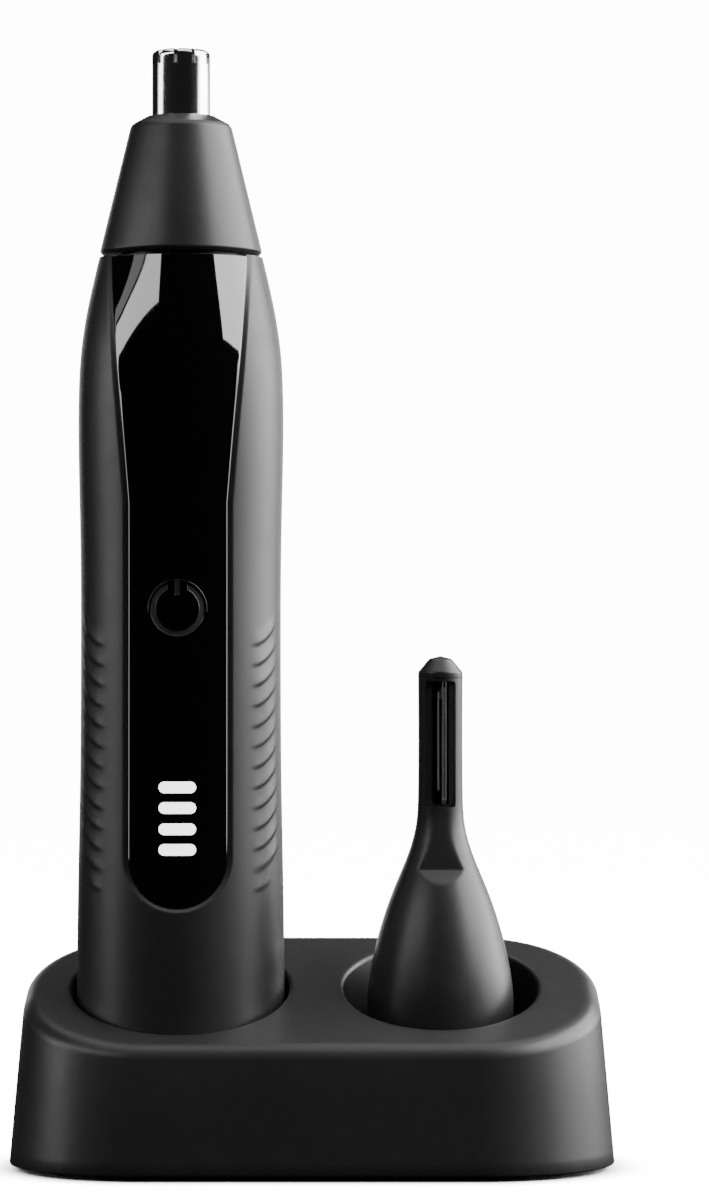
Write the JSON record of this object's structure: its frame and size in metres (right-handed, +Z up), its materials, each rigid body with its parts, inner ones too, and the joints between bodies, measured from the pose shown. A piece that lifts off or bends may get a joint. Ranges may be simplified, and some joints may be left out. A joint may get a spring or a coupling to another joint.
{
  "type": "nose hair trimmer",
  "caption": "Slim battery nose hair trimmer with a slotted chrome cutter tube, standing in a wedge-topped charging stand beside a spare narrow detail head.",
  "frame": {"origin": "middle of the stand's plan, on the surface that its feet stand on", "axes": "+Z up, +X from the trimmer's well to the detail head's well, +Y to the rear where the charging inlet is"},
  "size_m": [0.0926, 0.047, 0.1716],
  "materials": {
    "soft_touch_black": "soft-touch matte",
    "satin_black": "satin",
    "gloss_black": "high gloss",
    "button_black": "gloss with an engraved sign",
    "lamp_white": "clear light bar, lit white",
    "chrome": "polished",
    "blade_steel": "ground",
    "spring_steel": "drawn wire",
    "motor_steel": "zinc plated",
    "nickel_strip": "nickel",
    "gold_contact": "gold plated",
    "black_rubber": "matte",
    "board_green": "solder mask",
    "cell_sleeve": "shrink sleeve",
    "white_nylon": "moulded",
    "switch_parts": "moulded",
    "led_yellow": "LED body",
    "lead_red": "lead insulation",
    "ballast_steel": "rough"
  },
  "bodies": {
    "base": {"base_shell": "soft_touch_black", "base_bottom_plate": "satin_black", "base_feet": "black_rubber", "base_screws": "motor_steel", "base_circuit_board": "board_green", "base_board_screws": "motor_steel", "charging_socket": "motor_steel", "contact_block": "satin_black", "ballast_plate": "ballast_steel", "head_post": "satin_black", "charge_pin_springs": "spring_steel"},
    "charge_pins": {"charge_pins": "gold_contact"},
    "trimmer": {"body_shell": "soft_touch_black", "front_panel": "gloss_black", "light_guides": "lamp_white", "button_gasket": "black_rubber", "tact_switch": "switch_parts", "main_circuit_board": "board_green", "status_leds": "led_yellow", "chassis_screws": "motor_steel", "inner_chassis": "white_nylon", "battery_cell": "cell_sleeve", "battery_tabs": "nickel_strip", "motor_can": "motor_steel", "motor_end_cap": "white_nylon", "motor_mount": "white_nylon", "motor_leads": "lead_red", "contact_leads": "lead_red", "top_collar": "satin_black", "head_seal": "black_rubber", "shaft_seal": "black_rubber", "bottom_cap": "satin_black", "bottom_seal": "black_rubber", "charge_contacts": "gold_contact"},
    "power_button": {"power_button": "button_black"},
    "switch_plunger": {"switch_plunger": "switch_parts"},
    "drive": {"motor_shaft": "blade_steel", "drive_coupler": "white_nylon"},
    "nose_head": {"nose_head_shell": "soft_touch_black", "cutter_tube": "chrome", "head_retainer": "white_nylon", "cutter_spring": "spring_steel"},
    "nose_cutter": {"inner_cutter": "blade_steel", "cutter_shaft": "blade_steel", "driven_coupler": "white_nylon"},
    "detail_head": {"detail_head_shell": "soft_touch_black", "detail_head_cap": "satin_black", "fixed_blade": "blade_steel", "blade_spring": "spring_steel", "spindle_retainer": "white_nylon"},
    "detail_blade": {"moving_blade": "blade_steel", "blade_carrier": "white_nylon"},
    "detail_spindle": {"detail_spindle": "white_nylon"}
  },
  "joints": [
    {"name": "trimmer_lift", "type": "slide", "parent": "base", "child": "trimmer", "axis": [0, 0, 1], "range_m": [0, 0.045]},
    {"name": "detail_head_lift", "type": "slide", "parent": "base", "child": "detail_head", "axis": [0, 0, 1], "range_m": [0, 0.03]},
    {"name": "charge_pin_press", "type": "slide", "parent": "base", "child": "charge_pins", "axis": [0, 0, -1], "range_m": [0, 0.0006], "stiffness_N_per_m": 300, "deforming": ["charge_pin_springs"]},
    {"name": "nose_head_pull", "type": "slide", "parent": "trimmer", "child": "nose_head", "axis": [0, 0, 1], "range_m": [0, 0.014]},
    {"name": "motor_spin", "type": "hinge", "parent": "trimmer", "child": "drive", "pos_m": [-0.0202, 0, 0.125], "axis": [0, 0, 1], "continuous": true},
    {"name": "cutter_spin", "type": "hinge", "parent": "nose_head", "child": "nose_cutter", "pos_m": [-0.0202, 0, 0.15], "axis": [0, 0, 1], "continuous": true},
    {"name": "button_press", "type": "slide", "parent": "trimmer", "child": "power_button", "axis": [0, 1, 0], "range_m": [0, 0.0006], "stiffness_N_per_m": 800},
    {"name": "switch_press", "type": "slide", "parent": "trimmer", "child": "switch_plunger", "axis": [0, 1, 0], "range_m": [0, 0.0006]},
    {"name": "detail_spindle_spin", "type": "hinge", "parent": "detail_head", "child": "detail_spindle", "pos_m": [0.0197, 0, 0.04], "axis": [0, 0, 1], "continuous": true},
    {"name": "detail_blade_stroke", "type": "slide", "parent": "detail_head", "child": "detail_blade", "axis": [0, 0, 1], "range_m": [-0.0005, 0.0005], "stiffness_N_per_m": 200, "deforming": ["blade_spring"]}
  ],
  "couplings": [
    {"joint": "cutter_spin", "follows": "motor_spin", "ratio": 1},
    {"joint": "switch_press", "follows": "button_press", "ratio": 1}
  ]
}
